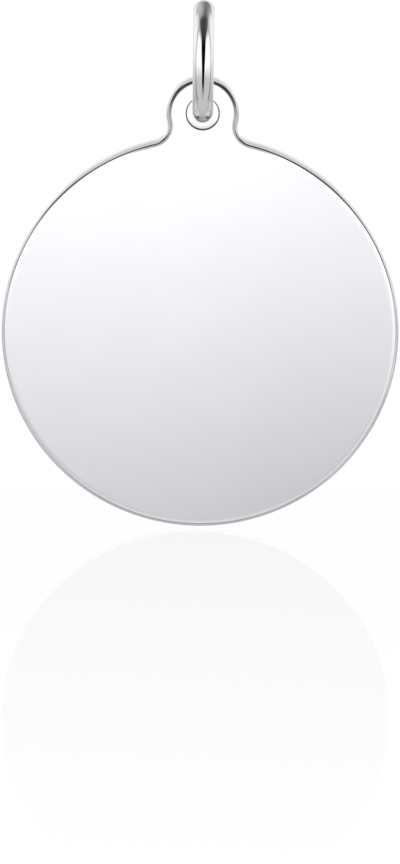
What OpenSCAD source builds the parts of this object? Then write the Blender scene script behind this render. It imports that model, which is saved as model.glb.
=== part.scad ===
// Disc pendant: a blank stamped disc with a drilled tab, hung on a closed ring of round wire.
// Millimetres. The disc's face looks towards -Y, and the ring stands square to it, front to back.
// The origin is the inside top of the ring, where a chain bears. The disc hangs below it along Z.

/* [Disc] */
// Diameter of the disc
disc_d = 20; // [15:0.5:26]
// Thickness of the disc and of its tab
plate_t = 0.9; // [0.6:0.05:1.4]
// Rounding of the outer edges, front and back
edge_r = 0.18; // [0.06:0.01:0.26]

/* [Tab] */
// Metal left all round the hole
tab_wall = 1.045; // [0.7:0.005:1.4]
// Height of the hole's middle above the disc's rim
tab_rise = 1.18; // [0.8:0.01:1.4]
// Radius of the hollow on each side, where the tab runs into the disc
shoulder_r = 0.85; // [0.5:0.05:1.2]
// Chamfer on both edges of the hole
hole_chamfer = 0.09; // [0.02:0.01:0.14]

/* [Jump ring] */
// Diameter of the ring's wire
wire_d = 1.05; // [0.8:0.05:1.3]
// Diameter of the ring's opening
ring_inner_d = 4.05; // [3.6:0.05:6]

/* [Fit] */
// Gap all round between the wire and the hole
wire_gap = 0.26; // [0.2:0.01:0.5]

/* [Hidden] */
$fn = 96;

disc_r = disc_d / 2;
wire_r = wire_d / 2;
hole_r = wire_r + wire_gap;
tab_r = hole_r + tab_wall;

// The ring hangs from the origin by the inside of its top, and its wire runs through the hole's middle.
ring_r = (ring_inner_d + wire_d) / 2;
ring_z = -ring_inner_d / 2;
hole_z = ring_z - ring_r;

// The middle of the tab and hole, measured up from the middle of the disc.
tab_y = disc_r + tab_rise;
disc_z = hole_z - tab_y;

// Each hollow's circle cuts this little way into the disc's and the tab's circles, to join them.
hollow_bite = shoulder_r / 70;

// The middle of the hollow's circle, from its distances to the disc's and the tab's middles.
to_disc = disc_r + shoulder_r - hollow_bite;
to_tab = tab_r + shoulder_r - hollow_bite;
hollow_y = (tab_y * tab_y + to_disc * to_disc - to_tab * to_tab) / (2 * tab_y);
hollow_x = sqrt(to_disc * to_disc - hollow_y * hollow_y);

// The rounding is an arc with its middle this far in from both faces of the corner, so that it
// meets the flat and the rim at a small angle.
arc_back = 1.5 * edge_r;
arc_r = norm([arc_back, arc_back - edge_r]);

// Cutters run this far past the metal.
past = edge_r;

silver = [0.86, 0.86, 0.88];
bright_silver = [0.92, 0.92, 0.94];

// What is cut from a square corner to round it. The corner is at the origin, with the metal
// towards -X and -Y.
module corner_waste() {
    translate([-arc_back, -arc_back])
        difference() {
            square(arc_back + past);
            circle(r = arc_r);
        }
}

// A round plate of the given radius with rounded edges.
module round_plate(radius) {
    rotate_extrude()
        difference() {
            translate([0, -plate_t / 2])
                square([radius, plate_t]);
            for (side = [0, 1])
                mirror([0, side])
                    translate([radius, plate_t / 2])
                        corner_waste();
        }
}

// The block of metal between the disc and the tab, out to the middles of the hollows.
module neck() {
    hollow = [hollow_x, hollow_y];
    translate([0, 0, -plate_t / 2])
        linear_extrude(plate_t)
            polygon([
                hollow / 2, hollow, [0, tab_y],
                [-hollow_x, hollow_y], [-hollow_x / 2, hollow_y / 2]
            ]);
}

// What is cut away for the hollow on the +X side, with the flare that rounds its edges.
module hollow_cutter() {
    translate([hollow_x, hollow_y, 0])
        rotate_extrude() {
            translate([0, -plate_t / 2 - 2 * past])
                square([shoulder_r, plate_t + 4 * past]);
            for (side = [0, 1])
                mirror([0, side])
                    translate([shoulder_r, plate_t / 2])
                        mirror([1, 0])
                            corner_waste();
        }
}

// The drill's path: the hole and its chamfered edges.
module drill() {
    translate([0, tab_y, 0]) {
        cylinder(r = hole_r, h = plate_t + 2 * past, center = true);
        for (side = [0, 1])
            mirror([0, 0, side])
                translate([0, 0, plate_t / 2 - 2 * hole_chamfer])
                    cylinder(
                        r1 = hole_r - hole_chamfer,
                        r2 = hole_r + hole_chamfer + past,
                        h = 2 * hole_chamfer + past
                    );
    }
}

module disc() {
    color(silver)
        translate([0, 0, disc_z])
            rotate([90, 0, 0])
                difference() {
                    union() {
                        round_plate(disc_r);
                        translate([0, tab_y, 0])
                            round_plate(tab_r);
                        neck();
                    }
                    for (side = [0, 1])
                        mirror([side, 0, 0])
                            hollow_cutter();
                    drill();
                }
}

module jump_ring() {
    color(bright_silver)
        translate([0, 0, ring_z])
            rotate([0, 90, 0])
                rotate_extrude()
                    translate([ring_r, 0])
                        circle(r = wire_r);
}

disc();
jump_ring();
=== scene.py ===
"""A polished disc pendant on its jump ring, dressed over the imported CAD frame.

Metres. The disc's face looks towards -Y and the ring stands in the YZ plane. The origin is the
inside top of the ring, where a chain bears.
"""

import logging
import math
from dataclasses import dataclass
from enum import Enum

import bmesh
import bpy
from bpy.types import Material, Mesh, Node, NodeSocket, NodeTree, Object
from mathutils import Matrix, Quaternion, Vector

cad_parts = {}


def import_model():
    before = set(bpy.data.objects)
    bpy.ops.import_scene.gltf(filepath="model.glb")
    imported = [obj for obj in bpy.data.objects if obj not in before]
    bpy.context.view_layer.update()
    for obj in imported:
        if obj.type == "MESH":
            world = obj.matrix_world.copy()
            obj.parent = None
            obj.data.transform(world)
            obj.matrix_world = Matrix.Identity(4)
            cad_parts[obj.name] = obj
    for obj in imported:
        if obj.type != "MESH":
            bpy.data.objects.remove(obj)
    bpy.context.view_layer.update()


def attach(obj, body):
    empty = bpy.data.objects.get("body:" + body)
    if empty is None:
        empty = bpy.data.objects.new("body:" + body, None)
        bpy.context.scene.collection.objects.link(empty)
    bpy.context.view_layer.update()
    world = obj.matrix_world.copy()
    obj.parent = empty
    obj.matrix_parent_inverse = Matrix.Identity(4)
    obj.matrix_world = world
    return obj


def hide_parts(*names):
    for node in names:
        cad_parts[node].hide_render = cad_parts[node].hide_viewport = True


MM = 0.001
PICTURE_HEIGHT = 864

# The two ends of a change: the places where it starts and stops, or the values there.
Span = tuple[float, float]
Colour = tuple[float, float, float]

# What goes into a node's inputs, by their names or numbers.
Inputs = dict[str | int, object]

log = logging.getLogger("disc_pendant")


class Face(Enum):
    """A side of the plate, by the way it looks along Y."""

    FRONT = -1.0
    BACK = 1.0


class Polish(Enum):
    """How a silver surface was brought to its shine."""

    LAPPED = "lapped flat on a wheel"
    DRAWN = "drawn through a die and tumbled"


class Piece(Enum):
    """The two pieces, each of which reflects its own part of the room."""

    RING = "jump_ring"
    DISC = "disc"


@dataclass
class Field:
    """A value inside a node tree. Ordinary arithmetic on it adds the nodes."""

    tree: NodeTree
    socket: NodeSocket

    def _math(self, operation: str, *others: "Field | float") -> "Field":
        """Adds one Math node.

        Args:
            operation: the Math node's operation.
            others: its further inputs.

        Returns:
            The node's result.
        """
        node = self.tree.nodes.new("ShaderNodeMath")
        node.operation = operation
        for index, value in enumerate((self, *others)):
            plug(self.tree, node.inputs[index], value)
        return Field(self.tree, node.outputs[0])

    def __add__(self, other: "Field | float") -> "Field":
        """The sum."""
        return self._math("ADD", other)

    def __sub__(self, other: "Field | float") -> "Field":
        """The difference."""
        return self._math("SUBTRACT", other)

    def __mul__(self, other: "Field | float") -> "Field":
        """The product."""
        return self._math("MULTIPLY", other)

    def __truediv__(self, other: "Field | float") -> "Field":
        """The quotient."""
        return self._math("DIVIDE", other)

    def __neg__(self) -> "Field":
        """The value with its sign changed."""
        return self * -1.0

    def __abs__(self) -> "Field":
        """The value without its sign."""
        return self._math("ABSOLUTE")

    def sin(self) -> "Field":
        """The sine of an angle in radians."""
        return self._math("SINE")

    def cos(self) -> "Field":
        """The cosine of an angle in radians."""
        return self._math("COSINE")

    def root(self) -> "Field":
        """The square root."""
        return self._math("SQRT")

    def power(self, exponent: float) -> "Field":
        """The value raised to a power."""
        return self._math("POWER", exponent)

    def near(self, value: float, reach: float) -> "Field":
        """1 where this value is within reach of the given one, 0 elsewhere."""
        return self._math("COMPARE", value, reach)

    def over(self, limit: "Field | float") -> "Field":
        """1 where the value is above the limit, 0 elsewhere."""
        return self._math("GREATER_THAN", limit)

    def at_most(self, limit: "Field | float") -> "Field":
        """The smaller of the value and the limit."""
        return self._math("MINIMUM", limit)

    def at_least(self, limit: "Field | float") -> "Field":
        """The larger of the value and the limit."""
        return self._math("MAXIMUM", limit)

    def rise(self, low: "Field | float", high: "Field | float") -> "Field":
        """Rises smoothly from 0 to 1 between two limits.

        Args:
            low: where it starts to rise.
            high: where it reaches 1.

        Returns:
            The risen value.
        """
        node = self.tree.nodes.new("ShaderNodeMapRange")
        node.interpolation_type = "SMOOTHSTEP"
        plug(self.tree, node.inputs["Value"], self)
        plug(self.tree, node.inputs["From Min"], low)
        plug(self.tree, node.inputs["From Max"], high)
        return Field(self.tree, node.outputs["Result"])

    def rest(self) -> "Field":
        """What is left of 1."""
        return self * -1.0 + 1.0

    def fall(self, low: float, high: float) -> "Field":
        """Falls smoothly from 1 to 0 between two limits."""
        return self.rise(low, high).rest()

    def between(self, start: "Field | float", end: "Field | float") -> "Field":
        """Goes from start to end as this value goes from 0 to 1."""
        return self.rest() * start + self * end


def plug(tree: NodeTree, socket: NodeSocket, value: object) -> None:
    """Sets an input to a number, vector or material, or links it to a field or an output.

    Args:
        tree: the tree that holds the socket.
        socket: the input.
        value: what goes in.
    """
    if isinstance(value, Field):
        tree.links.new(value.socket, socket)
    elif isinstance(value, NodeSocket):
        tree.links.new(value, socket)
    else:
        socket.default_value = value


def add_node(tree: NodeTree, kind: str, inputs: Inputs | None = None, **settings: object) -> Node:
    """Adds a node with its inputs and settings.

    Args:
        tree: where it goes.
        kind: the node's type.
        inputs: what goes into its inputs.
        settings: its properties, which are set first.

    Returns:
        The node.
    """
    node = tree.nodes.new(kind)
    for name, value in settings.items():
        setattr(node, name, value)
    for name, value in (inputs or {}).items():
        plug(tree, node.inputs[name], value)
    return node


def split(tree: NodeTree, vector: NodeSocket) -> tuple[Field, Field, Field]:
    """Takes a vector apart into its X, Y and Z."""
    node = add_node(tree, "ShaderNodeSeparateXYZ", {"Vector": vector})
    return tuple(Field(tree, output) for output in node.outputs)


def join(tree: NodeTree, x: object, y: object, z: object) -> NodeSocket:
    """Makes a vector of its X, Y and Z."""
    return add_node(tree, "ShaderNodeCombineXYZ", {"X": x, "Y": y, "Z": z}).outputs[0]


@dataclass
class ShapeTree:
    """A Geometry Nodes tree with named inputs, run once on a base mesh and then made plain."""

    name: str

    def __post_init__(self) -> None:
        """Makes the empty tree with its group input and output."""
        self.tree = bpy.data.node_groups.new(self.name, "GeometryNodeTree")
        self.tree.interface.new_socket(name="Base", in_out="INPUT", socket_type="NodeSocketGeometry")
        self.tree.interface.new_socket(name="Mesh", in_out="OUTPUT", socket_type="NodeSocketGeometry")
        self.inputs = self.tree.nodes.new("NodeGroupInput")
        self.outputs = self.tree.nodes.new("NodeGroupOutput")
        self.values: dict[str, object] = {}

    def entry(self, name: str, value: object) -> NodeSocket:
        """Adds a named number or material to the tree's inputs.

        Args:
            name: the input's name.
            value: what the modifier sets it to.

        Returns:
            The input's socket inside the tree.
        """
        kinds = {int: "NodeSocketInt", float: "NodeSocketFloat"}
        kind = kinds.get(type(value), "NodeSocketMaterial")
        item = self.tree.interface.new_socket(name=name, in_out="INPUT", socket_type=kind)
        self.values[item.identifier] = value
        return next(s for s in self.inputs.outputs if s.identifier == item.identifier)

    def size(self, name: str, value: float) -> Field:
        """Adds a named number to the tree's inputs, as a field."""
        return Field(self.tree, self.entry(name, value))

    def add(self, kind: str, inputs: Inputs | None = None, **settings: object) -> NodeSocket:
        """Adds a node, as add_node does, and gives its first output."""
        return add_node(self.tree, kind, inputs, **settings).outputs[0]

    def joined(self, *parts: NodeSocket) -> NodeSocket:
        """Joins geometries into one."""
        node = add_node(self.tree, "GeometryNodeJoinGeometry")
        for part in parts:
            self.tree.links.new(part, node.inputs[0])
        return node.outputs[0]

    def close(self, mesh: object, turn: tuple[float, float, float], lift: Field, material: object) -> None:
        """Stands the mesh in its place, smooth, and ends the tree in Realize Instances and Set Material.

        Args:
            mesh: the finished geometry.
            turn: how it is turned about the origin.
            lift: how far it is lifted then.
            material: the material's socket.
        """
        move = {"Geometry": mesh, "Rotation": turn, "Translation": join(self.tree, 0.0, 0.0, lift)}
        stood = self.add("GeometryNodeTransform", move)
        smooth = self.add("GeometryNodeSetShadeSmooth", {"Geometry": stood})
        real = self.add("GeometryNodeRealizeInstances", {"Geometry": smooth})
        dressed = self.add("GeometryNodeSetMaterial", {"Geometry": real, "Material": material})
        self.tree.links.new(dressed, self.outputs.inputs[0])

    def run(self, piece: str, base: Mesh) -> Object:
        """Runs the tree on a base mesh and keeps its result as a plain mesh object.

        Args:
            piece: the finished object's name.
            base: the mesh that goes into the tree.

        Returns:
            The object at the origin, with no modifier left.
        """
        made = bpy.data.objects.new(piece, base)
        bpy.context.scene.collection.objects.link(made)
        modifier = made.modifiers.new(self.name, "NODES")
        modifier.node_group = self.tree
        for identifier, value in self.values.items():
            modifier[identifier] = value
        made.update_tag()
        bpy.context.view_layer.update()
        graph = bpy.context.evaluated_depsgraph_get()
        mesh = bpy.data.meshes.new_from_object(made.evaluated_get(graph), depsgraph=graph)
        made.modifiers.remove(modifier)
        made.data = mesh
        mesh.name = piece
        bpy.data.meshes.remove(base)
        return made


@dataclass(frozen=True)
class Silver:
    """A polished silver finish: its colour, its shine, the fine marks of wear, and painted shade in dark
    lines along the hole, the tab and the rim.

    The spans of edge, bore, shade and rim are angles in radians, by which the surface has turned
    away from the face. The others are spans of a noise, which is about 0.5 on average.
    """

    name: str
    polish: Polish
    wound_on: "JumpRing"
    colour: Colour = (0.93, 0.926, 0.934)
    tarnish: Colour = (0.965, 0.962, 0.965)
    # Painted shade: the near-black colour of the dark lines painted along the hole, the tab's edge and the
    # rim.
    painted_shade_colour: Colour = (0.03, 0.03, 0.035)
    shine: float = 0.035
    haze: float = 0.03
    scratch: float = 0.06
    dull_edge: float = 0.05
    dull_dark: float = 0.12
    rim_painted_shade: float = 0.16
    cloud_tint: float = 0.35
    line_tint: float = 0.65
    cloud_height: float = 0.35
    line_depth: float = 0.5
    grain_height: float = 0.06
    cloud_scale: float = 420.0
    grain_scale: float = 5200.0
    hair_scale: float = 11000.0
    patch_scale: float = 900.0
    drawing_scale: float = 1700.0
    cloud_span: Span = (0.35, 0.75)
    tarnish_span: Span = (0.30, 0.70)
    grain_span: Span = (0.35, 0.70)
    hair_span: Span = (0.70, 0.79)
    patch_span: Span = (0.46, 0.64)
    drawing_span: Span = (0.60, 0.80)
    hair_turns: tuple[tuple[float, float], ...] = ((0.42, 3.1), (-0.71, 7.7), (1.33, 12.4))
    hair_stretch: tuple[float, float, float] = (1.0, 5.0, 34.0)
    drawing_fine: float = 9.0
    drawing_long: float = 0.22
    worn_edge: Span = (0.25, 1.1)
    bore_start: Span = (0.01, 0.10)
    bore_end: Span = (1.25, 1.5)
    shade_start: Span = (0.020, 0.042)
    shade_end: Span = (0.15, 0.32)
    rim_start: Span = (0.8, 1.2)
    bump_strength: float = 0.35
    bump_depth: float = 0.0012 * MM

    def material(self) -> Material:
        """Builds the finish as a procedural material on the piece's Object coordinates.

        Returns:
            The material.
        """
        made = bpy.data.materials.new(self.name)
        made.use_nodes = True
        tree = made.node_tree
        shader = tree.nodes["Principled BSDF"]
        place = tree.nodes.new("ShaderNodeTexCoord").outputs["Object"]
        cloud = self._noise(tree, place, self.cloud_scale, 3.0)
        grain = self._noise(tree, place, self.grain_scale, 2.0)
        lines = self._lines(tree, place)
        edge = self._kept(tree, "edge_turn")
        # dark is the mask of painted shade lines. It darkens the colour and roughens the surface.
        dark = self._painted_shade_mask(tree, edge)
        worn = edge.rise(*self.worn_edge) * grain.rise(*self.grain_span)
        rough = cloud.rise(*self.cloud_span) * self.haze + self.shine
        rough = rough + lines * self.scratch + worn * self.dull_edge + dark * self.dull_dark
        plug(tree, shader.inputs["Roughness"], rough)
        plug(tree, shader.inputs["Base Color"], self._colour(tree, cloud, lines, dark))
        shader.inputs["Metallic"].default_value = 1.0
        height = cloud * self.cloud_height - lines * self.line_depth + grain * self.grain_height
        relief = {"Height": height, "Strength": self.bump_strength, "Distance": self.bump_depth}
        bump = add_node(tree, "ShaderNodeBump", relief)
        plug(tree, shader.inputs["Normal"], bump.outputs[0])
        return made

    def _kept(self, tree: NodeTree, name: str) -> Field:
        """Reads a value that the mesh keeps on its points."""
        return Field(tree, add_node(tree, "ShaderNodeAttribute", attribute_name=name).outputs["Fac"])

    def _painted_shade_mask(self, tree: NodeTree, edge: Field) -> Field:
        """Makes the mask of painted shade: dark lines along the hole's edges, the tab's edge and the rim.

        Args:
            tree: the material's tree.
            edge: how far the surface has turned away from the face.

        Returns:
            0 where no shade is painted, up to 1 where the painted shade is darkest.
        """
        drilled = self._kept(tree, "drilled")
        bore = drilled * edge.rise(*self.bore_start) * edge.fall(*self.bore_end)
        shaded = self._kept(tree, "shaded") * edge.rise(*self.shade_start) * edge.fall(*self.shade_end)
        rim = edge.rise(*self.rim_start) * drilled.rest() * self.rim_painted_shade
        return bore.at_least(shaded).at_least(rim)

    def _noise(self, tree: NodeTree, place: object, scale: float, detail: float) -> Field:
        """Adds a noise of about 0.5, with so many repeats in a metre and octaves of detail."""
        node = add_node(tree, "ShaderNodeTexNoise", {"Vector": place, "Scale": scale, "Detail": detail})
        return Field(tree, node.outputs["Fac"])

    def _lines(self, tree: NodeTree, place: object) -> Field:
        """Adds the fine lines that the polish left.

        Args:
            tree: the material's tree.
            place: the coordinates they are read at.

        Returns:
            1 in the middle of a line and 0 away from the lines.
        """
        if self.polish is Polish.DRAWN:
            return self._drawn_lines(tree, place)
        total: Field | None = None
        for turn, shift in self.hair_turns:
            turned = add_node(tree, "ShaderNodeMapping", {"Vector": place}, vector_type="TEXTURE")
            turned.inputs["Rotation"].default_value = (0.0, turn, 0.0)
            turned.inputs["Location"].default_value = (shift * MM, 0.0, shift * MM)
            turned.inputs["Scale"].default_value = self.hair_stretch
            hair = self._noise(tree, turned.outputs[0], self.hair_scale, 1.0)
            patch = self._noise(tree, turned.outputs[0], self.patch_scale, 0.0)
            line = hair.rise(*self.hair_span) * patch.rise(*self.patch_span)
            total = line if total is None else total.at_least(line)
        return total

    def _drawn_lines(self, tree: NodeTree, place: object) -> Field:
        """Adds the lines that the die left along the wire.

        Args:
            tree: the material's tree.
            place: the coordinates they are read at.

        Returns:
            1 in the middle of a line and 0 away from the lines.
        """
        x, y, z = split(tree, place)
        up = z - self.wound_on.middle_z
        out = (y * y + up * up).root() - self.wound_on.ring_r
        along = (y + up) * self.drawing_long
        place = join(tree, x * self.drawing_fine, out * self.drawing_fine, along)
        return self._noise(tree, place, self.drawing_scale, 2.0).rise(*self.drawing_span)

    def _shaded(self, share: Colour) -> tuple[float, float, float, float]:
        """The silver's colour times a share of each part, as a colour input takes it."""
        return (*(part * kept for part, kept in zip(self.colour, share)), 1.0)

    def _colour(self, tree: NodeTree, cloud: Field, lines: Field, dark: Field) -> object:
        """Varies the silver's colour a little, and paints shade where the shade mask is.

        Args:
            tree: the material's tree.
            cloud: soft clouds over the piece.
            lines: the fine lines.
            dark: the mask of painted shade, 1 where it is darkest.

        Returns:
            The colour's output.
        """
        tint = cloud.rise(*self.tarnish_span) * self.cloud_tint + lines * self.line_tint
        tinting = {0: tint, 6: (*self.colour, 1.0), 7: self._shaded(self.tarnish)}
        tinted = add_node(tree, "ShaderNodeMix", tinting, data_type="RGBA").outputs[2]
        # Paints the shade lines in the near-black colour.
        darkening = {0: dark, 6: tinted, 7: self._shaded(self.painted_shade_colour)}
        return add_node(tree, "ShaderNodeMix", darkening, data_type="RGBA").outputs[2]


@dataclass
class JumpRing:
    """The closed ring of round wire that carries the disc."""

    wire_d: float = 1.05 * MM
    opening_d: float = 4.05 * MM
    steps_round: int = 256
    steps_wire: int = 72

    @property
    def ring_r(self) -> float:
        """Radius of the circle that the wire's middle follows."""
        return (self.opening_d + self.wire_d) / 2

    @property
    def middle_z(self) -> float:
        """Height of the ring's middle."""
        return -self.opening_d / 2

    def build(self, finish: Silver) -> Object:
        """Sweeps the wire round the ring with Geometry Nodes and dresses it.

        Args:
            finish: its silver.

        Returns:
            The finished ring.
        """
        shape = ShapeTree("wire_round_ring")
        ring_r = shape.size("Ring Radius", self.ring_r)
        wire_r = shape.size("Wire Radius", self.wire_d / 2)
        height = shape.size("Middle Height", self.middle_z)
        around = shape.size("Steps Round", self.steps_round)
        across = shape.size("Steps Of Wire", self.steps_wire)
        silver = shape.entry("Silver", finish.material())
        path = shape.add("GeometryNodeCurvePrimitiveCircle", {"Resolution": around, "Radius": ring_r})
        wire = shape.add("GeometryNodeCurvePrimitiveCircle", {"Resolution": across, "Radius": wire_r})
        swept = shape.add("GeometryNodeCurveToMesh", {"Curve": path, "Profile Curve": wire})
        shape.close(swept, (0.0, math.radians(90.0), 0.0), height, silver)
        ring = shape.run("wire_ring", bpy.data.meshes.new("ring_base"))
        point_outwards(ring.data)
        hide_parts("jump_ring")
        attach(ring, "ring")
        return ring


@dataclass
class Plate:
    """The stamped disc with its drilled tab.

    dark_from is a span of height over the disc's top, and darker_from one over the hole's middle.
    bore_fall holds the width and angle of the hole's own fall, as shares of burr_r and fall_angle.
    """

    hung_from: JumpRing
    disc_r: float = 10.0 * MM
    thickness: float = 0.9 * MM
    tab_wall: float = 1.045 * MM
    tab_rise: float = 1.18 * MM
    hollow_r: float = 0.85 * MM
    hole_r: float = 0.785 * MM
    edge_r: float = 0.18 * MM
    fall_width: float = 0.40 * MM
    fall_angle: float = math.radians(3.0)
    burr_r: float = 0.09 * MM
    arc_step: float = math.radians(0.6)
    tab_coarser: int = 3
    hollow_coarser: int = 4
    hole_coarser: int = 5
    fall_steps: int = 6
    round_steps: int = 14
    weld: float = 0.0002 * MM
    bore_fall: tuple[float, float] = (1.02, 0.01)
    # Strengths of the painted shade lines: round the hole, along the upper edge, and more round the tab's
    # top.
    bore_painted_shade: float = 0.51
    edge_painted_shade: float = 0.58
    tab_painted_shade: float = 0.36
    dark_from: Span = (-0.9 * MM, -0.4 * MM)
    darker_from: Span = (-0.3 * MM, 0.8 * MM)

    @property
    def tab_r(self) -> float:
        """Outer radius of the tab."""
        return self.hole_r + self.tab_wall

    @property
    def tab_up(self) -> float:
        """Height of the hole's middle above the disc's middle."""
        return self.disc_r + self.tab_rise

    @property
    def middle_z(self) -> float:
        """Height of the disc's middle: its hole is centred on the wire at the ring's bottom."""
        return self.hung_from.middle_z - self.hung_from.ring_r - self.tab_up

    def outline(self) -> tuple[list[tuple[float, float]], list[tuple[float, float]]]:
        """Follows the plate's outline once round, in four arcs that run into each other.

        Returns:
            The points in the plate's plane from the disc's middle, and the way out at each.
        """
        to_disc = self.disc_r + self.hollow_r
        to_tab = self.tab_r + self.hollow_r
        up = (self.tab_up**2 + to_disc**2 - to_tab**2) / (2 * self.tab_up)
        side = math.sqrt(to_disc**2 - up**2)
        low = math.atan2(up, side)
        high = math.atan2(self.tab_up - up, side)
        hollow_step = self.hollow_coarser * self.arc_step
        tab_step = self.tab_coarser * self.arc_step
        arcs = [
            (0.0, 0.0, self.disc_r, math.pi - low, math.tau + low, 1.0, self.arc_step),
            (side, up, self.hollow_r, low + math.pi, math.pi - high, -1.0, hollow_step),
            (0.0, self.tab_up, self.tab_r, -high, math.pi + high, 1.0, tab_step),
            (-side, up, self.hollow_r, high, -low, -1.0, hollow_step),
        ]
        points, outward = [], []
        for x, y, radius, start, end, sign, step in arcs:
            count = math.ceil(abs(end - start) / step)
            for index in range(count):
                angle = start + (end - start) * index / count
                way = (math.cos(angle), math.sin(angle))
                points.append((x + radius * way[0], y + radius * way[1]))
                outward.append((sign * way[0], sign * way[1]))
        return points, outward

    def _base(self) -> Mesh:
        """Makes the path mesh: the outline, then the hole's circle the other way round.

        Returns:
            Edges alone, with the way out of the metal kept at each point.
        """
        points, outward = self.outline()
        count = round(math.tau / (self.hole_coarser * self.arc_step))
        for index in range(count):
            angle = -math.tau * index / count
            points.append((self.hole_r * math.cos(angle), self.tab_up + self.hole_r * math.sin(angle)))
            outward.append((-math.cos(angle), -math.sin(angle)))
        first = len(points) - count
        loops = [range(first), range(first, len(points))]
        edges = [(loop[i], loop[(i + 1) % len(loop)]) for loop in loops for i in range(len(loop))]
        mesh = bpy.data.meshes.new("plate_path")
        mesh.from_pydata([(x, y, 0.0) for x, y in points], edges, [])
        way = mesh.attributes.new("outward", "FLOAT_VECTOR", "POINT")
        way.data.foreach_set("vector", [v for x, y in outward for v in (x, y, 0.0)])
        # drilled marks the hole and carries its painted shade strength. shaded carries the painted shade
        # along the outline.
        hole = mesh.attributes.new("drilled", "FLOAT", "POINT")
        hole.data.foreach_set("value", [0.0] * first + [self.bore_painted_shade] * count)
        shade = mesh.attributes.new("shaded", "FLOAT", "POINT")
        shade.data.foreach_set("value", [self._shade(y) for _, y in points[:first]] + [0.0] * count)
        return mesh

    def _shade(self, y: float) -> float:
        """Tells how much shade is painted on the edge at a height: most round the tab's top."""
        top = ramp(y - self.tab_up, self.darker_from)
        return ramp(y - self.disc_r, self.dark_from) * (self.edge_painted_shade + self.tab_painted_shade * top)

    def _profile(self, shape: ShapeTree, fall: Field, turn: Field, edge: Field, half: Field) -> object:
        """Makes the edge's section: the face's slight fall, the rounding, and the same behind.

        Args:
            shape: the tree.
            fall: width of the face's slight fall towards the rim.
            turn: how far the face has turned where the rounding starts, in radians.
            edge: width of the rounding.
            half: half the plate's thickness.

        Returns:
            The section's curve, with its turn kept on it as edge_turn.
        """
        tree = shape.tree
        count = 2 * (self.fall_steps + self.round_steps) + 2
        line = shape.add("GeometryNodeCurvePrimitiveLine", {"End": (1.0, 0.0, 0.0)})
        points = shape.add("GeometryNodeResampleCurve", {"Curve": line, "Count": count})
        index = Field(tree, shape.add("GeometryNodeInputIndex"))
        behind = index.over(count / 2 - 0.5)
        step = behind.between(index, index * -1.0 + (count - 1.0))
        on_fall = (step / self.fall_steps).at_most(1.0)
        on_round = ((step - self.fall_steps) / self.round_steps).at_least(0.0)
        radius = edge / turn.sin().rest()
        drop = (fall - edge) * turn.sin() / turn.cos() / 2.0
        rounded = on_round * (turn * -1.0 + math.pi / 2)
        angle = turn + rounded
        inward = (fall - (fall - edge) * on_fall) - edge + (radius - radius * angle.sin())
        sunk = drop * on_fall * on_fall + radius * (turn.cos() - angle.cos())
        height = (half - sunk) * behind.between(1.0, -1.0)
        section = {"Geometry": points, "Position": join(tree, -inward, height, 0.0)}
        placed = shape.add("GeometryNodeSetPosition", section)
        kept = {"Geometry": placed, "Name": "edge_turn", "Value": turn * on_fall + rounded}
        return shape.add("GeometryNodeStoreNamedAttribute", kept, data_type="FLOAT", domain="POINT")

    def build(self, finish: Silver) -> Object:
        """Sweeps the edges along the outline and the hole, closes both faces and dresses it.

        Args:
            finish: its silver.

        Returns:
            The finished plate.
        """
        shape = ShapeTree("plate_along_outline")
        half = shape.size("Thickness", self.thickness) / 2.0
        fall = shape.size("Fall Width", self.fall_width)
        turn = shape.size("Fall Angle", self.fall_angle)
        edge = shape.size("Edge Rounding", self.edge_r)
        burr = shape.size("Hole Rounding", self.burr_r)
        height = shape.size("Middle Height", self.middle_z)
        silver = shape.entry("Silver", finish.material())
        hole = Field(shape.tree, shape.add("GeometryNodeInputNamedAttribute", {"Name": "drilled"}))
        bands = []
        width, angle = self.bore_fall
        for selection, section in (
            (hole.over(0.5).rest(), self._profile(shape, fall, turn, edge, half)),
            (hole.over(0.5), self._profile(shape, burr * width, turn * angle, burr, half)),
        ):
            chosen = {"Mesh": shape.inputs.outputs[0], "Selection": selection}
            path = shape.add("GeometryNodeMeshToCurve", chosen)
            upright = shape.add("GeometryNodeSetCurveNormal", {"Curve": path}, mode="Z_UP")
            along = {"Curve": upright, "Profile Curve": section}
            bands.append(shape.add("GeometryNodeCurveToMesh", along))
        band = shape.joined(*bands)
        faces = [self._cover(shape, band, half * face.value * -1.0) for face in Face]
        whole = shape.joined(band, *faces)
        welded = shape.add("GeometryNodeMergeByDistance", {"Geometry": whole, "Distance": self.weld})
        shape.close(welded, (math.radians(90.0), 0.0, 0.0), height, silver)
        plate = shape.run("polished_disc", self._base())
        point_outwards(plate.data)
        self._set_normals(plate.data)
        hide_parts("disc")
        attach(plate, "pendant")
        return plate

    def _cover(self, shape: ShapeTree, band: object, level: Field) -> NodeSocket:
        """Closes one face between the bands' free edges.

        Args:
            shape: the tree.
            band: the swept edge bands.
            level: the face's height in the plate's own frame.

        Returns:
            The flat face.
        """
        tree = shape.tree
        z = split(tree, shape.add("GeometryNodeInputPosition"))[2]
        count = Field(tree, shape.add("GeometryNodeInputMeshEdgeNeighbors"))
        free = count.near(1.0, 0.1) * (z - level).near(0.0, 0.01 * MM)
        rim = shape.add("GeometryNodeMeshToCurve", {"Mesh": band, "Selection": free})
        filled = shape.add("GeometryNodeFillCurve", {"Curve": rim})
        move = {"Geometry": filled, "Translation": join(tree, 0.0, 0.0, level)}
        return shape.add("GeometryNodeTransform", move)

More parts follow.
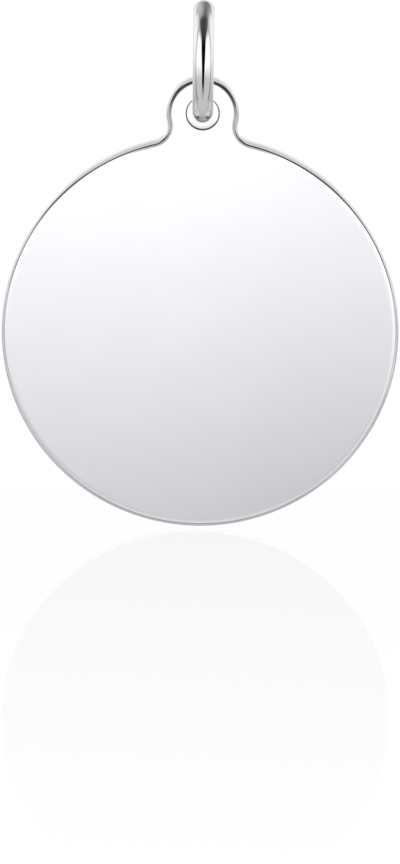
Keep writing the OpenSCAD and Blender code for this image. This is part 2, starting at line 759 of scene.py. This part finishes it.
    def _set_normals(self, mesh: Mesh) -> None:
        """Gives every point the true normal of the arc it lies on, so that reflections run clean.

        Args:
            mesh: the plate's mesh, standing in place.
        """
        turn = [0.0] * len(mesh.vertices)
        way = [0.0] * (3 * len(mesh.vertices))
        mesh.attributes["edge_turn"].data.foreach_get("value", turn)
        mesh.attributes["outward"].data.foreach_get("vector", way)
        normals = []
        for vertex, angle in zip(mesh.vertices, turn):
            x, z = way[3 * vertex.index], way[3 * vertex.index + 1]
            face = math.copysign(math.cos(angle), vertex.co.y)
            normals.append((x * math.sin(angle), face, z * math.sin(angle)))
        mesh.normals_split_custom_set_from_vertices(normals)


def ramp(value: float, span: Span) -> float:
    """Rises evenly from 0 to 1 between the ends of a span."""
    return min(max((value - span[0]) / (span[1] - span[0]), 0.0), 1.0)


def point_outwards(mesh: Mesh) -> None:
    """Turns a closed mesh's faces outwards, by the sign of its volume after making them agree.

    Args:
        mesh: the mesh.
    """
    work = bmesh.new()
    work.from_mesh(mesh)
    bmesh.ops.recalc_face_normals(work, faces=work.faces)
    if work.calc_volume(signed=True) < 0:
        bmesh.ops.reverse_faces(work, faces=work.faces)
    work.to_mesh(mesh)
    work.free()


@dataclass(frozen=True)
class Surroundings:
    """How bright the room is each way: white sides, a grey roof and floor, a dark opening in front.

    A direction has the length 1. Its parts go to the side (x), away from the camera (y) and up (z),
    and each Span gives the ends between which the light changes along one part.
    """

    white: float = 1.10
    low: float = 0.58
    dark: float = 0.003
    slate: float = 0.058
    behind: float = 0.70
    side_wall: float = 0.55
    low_wall: float = 0.80
    ceiling: float = 0.66
    far_share: float = 0.86
    seam_share: float = 0.40
    under_share: float = 0.36
    horizon_z: Span = (-0.45, 0.10)
    far_y: Span = (0.05, 0.30)
    seam_y: Span = (0.03, 0.16)
    seam_end_z: Span = (0.60, 0.85)
    under_x: Span = (0.40, 0.70)
    under_y: Span = (0.10, 0.50)
    under_z: Span = (-0.70, -0.30)
    strip_x: Span = (0.22, 0.36)
    strip_y: Span = (0.60, 0.85)
    wall_x: Span = (0.30, 0.50)
    wall_y: Span = (-0.35, -0.10)
    wall_z: Span = (-0.38, -0.12)
    opening_x: Span = (0.31, 0.41)
    opening_z: Span = (-0.95, -0.60)
    opening_wide_x: Span = (0.62, 0.78)
    opening_wide_z: Span = (-0.10, 0.0)
    opening_y: Span = (0.15, 0.42)
    ceiling_z: Span = (0.45, 0.75)
    slot_half: Span = (0.19, 0.36)
    slot_half_z: Span = (-0.60, 0.70)
    slot_edge: Span = (-0.05, 0.05)
    slot_z: Span = (-1.02, -0.48)
    slot_y: Span = (0.35, 0.65)
    roof_power: float = 4.0
    roof_bend: float = 1.3
    roof_z: Span = (0.62, 0.90)
    slate_z: Span = (0.60, 1.0)
    cap_middle_x: float = 0.18
    cap_grey: Span = (0.19, 0.56)
    cap_grey_x: Span = (0.0, 0.55)
    cap_share: Span = (0.75, 0.98)
    cap_share_y: Span = (0.25, 0.85)
    cap_x: Span = (0.50, 0.70)
    cap_y: Span = (0.06, 0.44)
    cap_z: Span = (0.15, 0.35)

    def light(self, x: Field, y: Field, z: Field, piece: Piece) -> Field:
        """Gives the room's brightness in a direction.

        Args:
            x: the direction's part to the side.
            y: its part away from the camera.
            z: its part upwards.
            piece: the piece that reflects the room.

        Returns:
            The brightness.
        """
        side = abs(x)
        glow = z.rise(*self.horizon_z).between(self.low, self.white)
        glow = glow * y.rise(*self.far_y).between(1.0, self.far_share)
        seam = abs(y).rise(*self.seam_y).between(self.seam_share, 1.0)
        glow = glow * seam.at_least(abs(z).rise(*self.seam_end_z))
        under = y.rise(*self.under_y) * z.fall(*self.under_z) * side.fall(*self.under_x)
        glow = glow * under.between(1.0, self.under_share)
        strip = y.rise(*self.strip_y) * side.fall(*self.strip_x)
        glow = strip.between(glow, self.behind)
        if piece is Piece.DISC:
            return self._disc_light(side, y, z, glow)
        return self._ring_light(x, y, z, glow)

    def shared(self, x: Field, y: Field, z: Field) -> Field:
        """Gives the light that both pieces reflect from a direction, as light does for one."""
        return self.light(x, y, z, Piece.RING).at_most(self.light(x, y, z, Piece.DISC))

    def _disc_light(self, side: Field, y: Field, z: Field, glow: Field) -> Field:
        """Adds the disc's own parts: greyer side walls, a broad dark opening and an even ceiling.

        Args:
            side: how far to the side the direction goes.
            y: its part away from the camera.
            z: its part upwards.
            glow: the room's brightness before.

        Returns:
            The brightness.
        """
        wall = side.rise(*self.wall_x) * y.fall(*self.wall_y)
        glow = glow * wall.between(1.0, z.rise(*self.wall_z).between(self.low_wall, self.side_wall))
        narrow = side.fall(*self.opening_x) * z.rise(*self.opening_z)
        wide = side.fall(*self.opening_wide_x) * z.rise(*self.opening_wide_z)
        gap = narrow.at_least(wide) * y.fall(*self.opening_y)
        return z.rise(*self.ceiling_z).between(gap.between(glow, self.dark), self.ceiling)

    def _ring_light(self, x: Field, y: Field, z: Field, glow: Field) -> Field:
        """Adds the ring's own parts: a slot that opens out into a dark roof, and a grey cap behind.

        Args:
            x: the direction's part to the side.
            y: its part away from the camera.
            z: its part upwards.
            glow: the room's brightness before.

        Returns:
            The brightness.
        """
        side = abs(x)
        width = z.rise(*self.slot_half_z).between(*self.slot_half)
        slot = (side - width).fall(*self.slot_edge) * z.rise(*self.slot_z)
        roof = (side.power(self.roof_power) * self.roof_bend).rest().at_least(0.0)
        gap = z.rise(*self.roof_z).between(slot, roof) * y.fall(*self.slot_y)
        glow = gap.between(glow, z.rise(*self.slate_z).between(self.dark, self.slate))
        grey = abs(x - self.cap_middle_x).rise(*self.cap_grey_x).between(*self.cap_grey)
        grey = grey * y.rise(*self.cap_share_y).between(*self.cap_share)
        cap = side.fall(*self.cap_x) * y.rise(*self.cap_y) * z.rise(*self.cap_z)
        return cap.between(glow, grey)


@dataclass(frozen=True)
class Lamp:
    """A flat soft lamp that lights one piece alone. Untilted, it shines straight down."""

    name: str
    width: float
    height: float
    centre: tuple[float, float, float]
    tilt: float = 0.0

    def add(self, target: Object) -> tuple[NodeTree, Node]:
        """Adds the lamp with a brightness of 1 all over.

        Args:
            target: the piece it lights.

        Returns:
            Its node tree and the Emission node in it.
        """
        data = bpy.data.lights.new(self.name, "AREA")
        data.shape = "RECTANGLE"
        data.size = self.width
        data.size_y = self.height
        data.energy = math.pi * self.width * self.height
        data.use_nodes = True
        lamp = bpy.data.objects.new(self.name, data)
        bpy.context.scene.collection.objects.link(lamp)
        lamp.location = self.centre
        lamp.rotation_euler = (self.tilt, 0.0, 0.0)
        lamp.visible_camera = False
        lit = bpy.data.collections.new(f"lit_by_{self.name}")
        lit.objects.link(target)
        lamp.light_linking.receiver_collection = lit
        return data.node_tree, data.node_tree.nodes["Emission"]


@dataclass(frozen=True)
class FaceGlow:
    """What stands before a face of the disc: a sheet that darkens downwards, between soft cloths.

    Places are metres across the lamp (x, to the right as the camera sees the front) and up it (z),
    from the origin. A brightness of 1 shows as white.
    """

    room_behind: float
    distance: float = 150.0 * MM
    width: float = 680.0 * MM
    height: float = 600.0 * MM
    middle_z: float = -60.0 * MM
    colour: Colour = (0.985, 0.977, 1.012)
    level: float = 1.028
    level_z: float = -35.8 * MM
    climb: float = 17.75
    lean: float = 1.2
    step: float = 0.065
    step_x: Span = (-4.0 * MM, 12.0 * MM)
    gain: float = 1.08
    limits: Span = (0.63, 1.22)
    edge_lift: float = 0.2
    edge_x: Span = (15.0 * MM, 26.0 * MM)
    foot_lift: float = 0.12
    foot_depth: Span = (61.0 * MM, 72.0 * MM)
    margin_share: float = 0.65
    margin_x: Span = (34.0 * MM, 50.0 * MM)
    low_share: float = 0.37
    low_z: Span = (-125.0 * MM, -85.0 * MM)
    bottom_z: Span = (-195.0 * MM, -175.0 * MM)
    sheet_end_x: Span = (56.0 * MM, 60.0 * MM)
    sheet_top_z: Span = (-16.0 * MM, -8.0 * MM)
    above: Span = (0.13, 0.03)
    above_x: Span = (-50.0 * MM, 50.0 * MM)
    above_back: float = 0.20
    above_end_x: Span = (85.0 * MM, 90.0 * MM)
    above_top_z: Span = (90.0 * MM, 110.0 * MM)
    fold: float = 125.0 * MM
    fold_slant: float = 0.35
    cloth: Span = (0.24, 0.13)
    cloth_z: Span = (-120.0 * MM, -80.0 * MM)
    cloth_x: Span = (75.0 * MM, 110.0 * MM)
    cloth_depth: Span = (70.0 * MM, 100.0 * MM)

    def lamp(self, face: Face) -> Lamp:
        """Makes the lamp that carries the glow.

        Args:
            face: the face it stands before.

        Returns:
            The lamp.
        """
        centre = (0.0, self.distance * face.value, self.middle_z)
        tilt = math.radians(-90.0 * face.value)
        return Lamp(f"face_lamp_{face.name.lower()}", self.width, self.height, centre, tilt)

    def light(self, face: Face, x: Field, z: Field) -> Field:
        """Gives the lamp's brightness at a place on it.

        Args:
            face: the face it stands before.
            x: the place across it.
            z: its height.

        Returns:
            The brightness.
        """
        sheet = self._sheet(x, z)
        above = x.rise(*self.above_x).between(*self.above) * abs(x).fall(*self.above_end_x)
        if face is Face.BACK:
            sheet = (sheet - self.room_behind).at_least(0.0)
            above = abs(x).rise(*self.above_end_x).between(self.above_back, 0.0)
        sheet = sheet * abs(x).fall(*self.sheet_end_x)
        sheet = z.rise(*self.sheet_top_z).between(sheet, above * z.fall(*self.above_top_z))
        return sheet + self._cloths(face, x, z)

    def _sheet(self, x: Field, z: Field) -> Field:
        """Gives the sheet's own brightness, before it ends.

        Args:
            x: the place across the lamp.
            z: its height.

        Returns:
            The brightness.
        """
        glow = z * self.climb + (self.level - self.climb * self.level_z)
        glow = glow - x * self.lean - x.rise(*self.step_x) * self.step
        glow = (glow * self.gain).at_most(self.limits[1]).at_least(self.limits[0])
        glow = glow + x.rise(*self.edge_x) * self.edge_lift
        glow = glow + (-z).rise(*self.foot_depth) * self.foot_lift
        glow = glow * abs(x).rise(*self.margin_x).between(1.0, self.margin_share)
        return glow * z.rise(*self.low_z).between(self.low_share, 1.0) * z.rise(*self.bottom_z)

    def _cloths(self, face: Face, x: Field, z: Field) -> Field:
        """Gives the light of the folded cloths beside the sheet, which also hang below the back's.

        Args:
            face: the face the lamp stands before.
            x: the place across the lamp.
            z: its height.

        Returns:
            The brightness.
        """
        fold = ((z + x * self.fold_slant) * (math.tau / self.fold) + math.pi).sin()
        spread = abs(x).rise(*self.cloth_x)
        if face is Face.BACK:
            spread = spread.at_least((-z).rise(*self.cloth_depth))
        return (fold + 1.0) * z.rise(*self.cloth_z).between(*self.cloth) * spread


@dataclass
class Studio:
    """The pale floor and backdrop, the soft light round the object, and the camera."""

    plate: Plate
    around: Surroundings = Surroundings()
    world_colour: Colour = (1.0, 0.995, 1.01)
    room: float = 0.95
    floor_over: float = 1.02
    floor_steps: int = 96
    dome_steps: tuple[int, int] = (64, 32)
    floor_gap: float = 0.02 * MM
    floor_light: float = 1.03
    backdrop_light: float = 1.01
    sheen: float = 0.155
    sheen_rough: float = 0.02
    sheen_reach: float = 92 * MM
    sheen_behind: Span = (2 * MM, 30 * MM)
    ring_lamp: Lamp = Lamp("ring_lamp", 1.1, 1.4, (0.0, -0.12, 0.0), math.radians(90.0))
    roof_lamp: Lamp = Lamp("roof_lamp", 3.0, 3.0, (0.0, 0.0, 0.5))
    elevation: float = math.radians(12.0)
    roll: float = math.radians(0.7)
    lens: float = 300.0
    sensor: float = 36.0
    pixel: float = 0.05054 * MM
    aim_x: float = 0.058 * MM
    aim_drop: float = 5.09 * MM

    def build_world(self) -> None:
        """Lights the metal from all round with the light that both pieces share."""
        world = bpy.data.worlds.new("soft_studio")
        bpy.context.scene.world = world
        world.use_nodes = True
        tree = world.node_tree
        way = split(tree, tree.nodes.new("ShaderNodeTexCoord").outputs["Generated"])
        back = tree.nodes["Background"]
        plug(tree, back.inputs["Strength"], self.around.shared(*way))
        back.inputs["Color"].default_value = (*self.world_colour, 1.0)

    def build_floor(self) -> None:
        """Lays the pale floor, faintly glossy near the object, and stands the backdrop round it."""
        sheet = bmesh.new()
        radius = self.room * self.floor_over
        bmesh.ops.create_circle(sheet, cap_ends=True, segments=self.floor_steps, radius=radius)
        self._set_stage("studio_floor", sheet, self._floor_material())
        dome = bmesh.new()
        round_steps, up_steps = self.dome_steps
        bmesh.ops.create_uvsphere(dome, u_segments=round_steps, v_segments=up_steps, radius=self.room)
        below = [point for point in dome.verts if point.co.z < -MM]
        bmesh.ops.delete(dome, geom=below, context="VERTS")
        self._set_stage("studio_backdrop", dome, self._backdrop_material())

    def _set_stage(self, name: str, shape: bmesh.types.BMesh, material: Material) -> None:
        """Sets a shape at the floor's level, where the camera sees it and the metal doesn't.

        Args:
            name: its name.
            shape: the shape round the origin, which is freed.
            material: what it is made of.
        """
        level = self.plate.middle_z - self.plate.disc_r - self.floor_gap
        bmesh.ops.translate(shape, verts=shape.verts, vec=(0.0, 0.0, level))
        mesh = bpy.data.meshes.new(name)
        shape.to_mesh(mesh)
        shape.free()
        mesh.materials.append(material)
        thing = bpy.data.objects.new(name, mesh)
        bpy.context.scene.collection.objects.link(thing)
        thing.visible_glossy = False
        thing.visible_diffuse = False
        thing.visible_shadow = False

    def _floor_material(self) -> Material:
        """Makes the floor's white with a sheen that fades away from the object.

        Returns:
            The material.
        """
        made = bpy.data.materials.new("pale_floor")
        made.use_nodes = True
        tree = made.node_tree
        tree.nodes.clear()
        y = split(tree, tree.nodes.new("ShaderNodeTexCoord").outputs["Object"])[1]
        reach = (y / -self.sheen_reach).at_least(0.0).at_most(1.0)
        sheen = reach.rest() * self.sheen * y.fall(*self.sheen_behind)
        lost = sheen * (1.0 - self.around.behind)
        white = add_node(tree, "ShaderNodeEmission", {"Strength": lost / sheen.rest() + self.floor_light})
        gloss = add_node(tree, "ShaderNodeBsdfGlossy", {"Roughness": self.sheen_rough})
        both = add_node(tree, "ShaderNodeMixShader", {0: sheen, 1: white.outputs[0], 2: gloss.outputs[0]})
        add_node(tree, "ShaderNodeOutputMaterial", {0: both.outputs[0]})
        return made

    def _backdrop_material(self) -> Material:
        """Makes the backdrop's plain white.

        Returns:
            The material.
        """
        made = bpy.data.materials.new("pale_backdrop")
        made.use_nodes = True
        tree = made.node_tree
        tree.nodes.clear()
        white = add_node(tree, "ShaderNodeEmission", {"Strength": self.backdrop_light})
        add_node(tree, "ShaderNodeOutputMaterial", {0: white.outputs[0]})
        return made

    def add_face_lamp(self, face: Face, target: Object) -> None:
        """Sets a wide soft lamp before one face of the disc. It lights the disc alone.

        Args:
            face: the face it stands before.
            target: the disc.
        """
        glow = FaceGlow(self.around.behind)
        tree, emission = glow.lamp(face).add(target)
        x, y, z = split(tree, tree.nodes.new("ShaderNodeNewGeometry").outputs["Position"])
        plug(tree, emission.inputs["Strength"], glow.light(face, x * -face.value, z))
        emission.inputs["Color"].default_value = (*glow.colour, 1.0)

    def fill_in(self, piece: Piece, target: Object) -> None:
        """Adds a lamp that is as bright each way as its piece's room is over the shared one.

        The ring's stands broad and white before it, and the disc's hangs over it as a ceiling.

        Args:
            piece: the piece that it lights.
            target: the finished piece.
        """
        if piece is Piece.RING:
            lamp, height = self.ring_lamp, self.plate.hung_from.middle_z
        else:
            lamp, height = self.roof_lamp, self.plate.middle_z
        tree, emission = lamp.add(target)
        ends = {0: tree.nodes.new("ShaderNodeNewGeometry").outputs["Position"], 1: (0.0, 0.0, height)}
        line = add_node(tree, "ShaderNodeVectorMath", ends, operation="SUBTRACT").outputs[0]
        way = add_node(tree, "ShaderNodeVectorMath", {0: line}, operation="NORMALIZE")
        x, y, z = split(tree, way.outputs[0])
        extra = self.around.light(x, y, z, piece) - self.around.shared(x, y, z)
        plug(tree, emission.inputs["Strength"], extra.at_least(0.0))

    def place_camera(self) -> None:
        """Sets the camera at the photograph's height and distance, with its slight lean."""
        data = bpy.data.cameras.new("camera")
        data.lens = self.lens
        data.sensor_width = self.sensor
        distance = PICTURE_HEIGHT * self.pixel * self.lens / self.sensor
        back = Vector((0.0, -math.cos(self.elevation), math.sin(self.elevation)))
        drop = self.aim_drop / math.cos(self.elevation)
        aim = Vector((self.aim_x, 0.0, self.plate.middle_z - drop))
        camera = bpy.data.objects.new("camera", data)
        bpy.context.scene.collection.objects.link(camera)
        camera.rotation_mode = "QUATERNION"
        camera.location = aim + back * distance
        lean = Quaternion((0.0, 0.0, 1.0), self.roll)
        camera.rotation_quaternion = (-back).to_track_quat("-Z", "Y") @ lean
        data.clip_start = 0.01
        data.clip_end = 3.0
        bpy.context.scene.camera = camera

    def set_tones(self) -> None:
        """Keeps the tones as they are lit."""
        view = bpy.context.scene.view_settings
        view.view_transform = "Standard"
        view.look = "None"
        view.exposure = 0.0
        view.gamma = 1.0


def main() -> None:
    """Builds the pendant and its studio in order."""
    logging.basicConfig(level=logging.INFO, format="%(name)s: %(message)s")
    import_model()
    ring = JumpRing()
    plate = Plate(ring)
    ring_piece = ring.build(Silver("drawn_silver", Polish.DRAWN, ring))
    log.info("%s: %d faces", ring_piece.name, len(ring_piece.data.polygons))
    disc_piece = plate.build(Silver("lapped_silver", Polish.LAPPED, ring))
    log.info("%s: %d faces", disc_piece.name, len(disc_piece.data.polygons))
    studio = Studio(plate)
    studio.set_tones()
    studio.build_world()
    studio.build_floor()
    for face in Face:
        studio.add_face_lamp(face, disc_piece)
    studio.fill_in(Piece.RING, ring_piece)
    studio.fill_in(Piece.DISC, disc_piece)
    studio.place_camera()


if __name__ == "__main__":
    main()
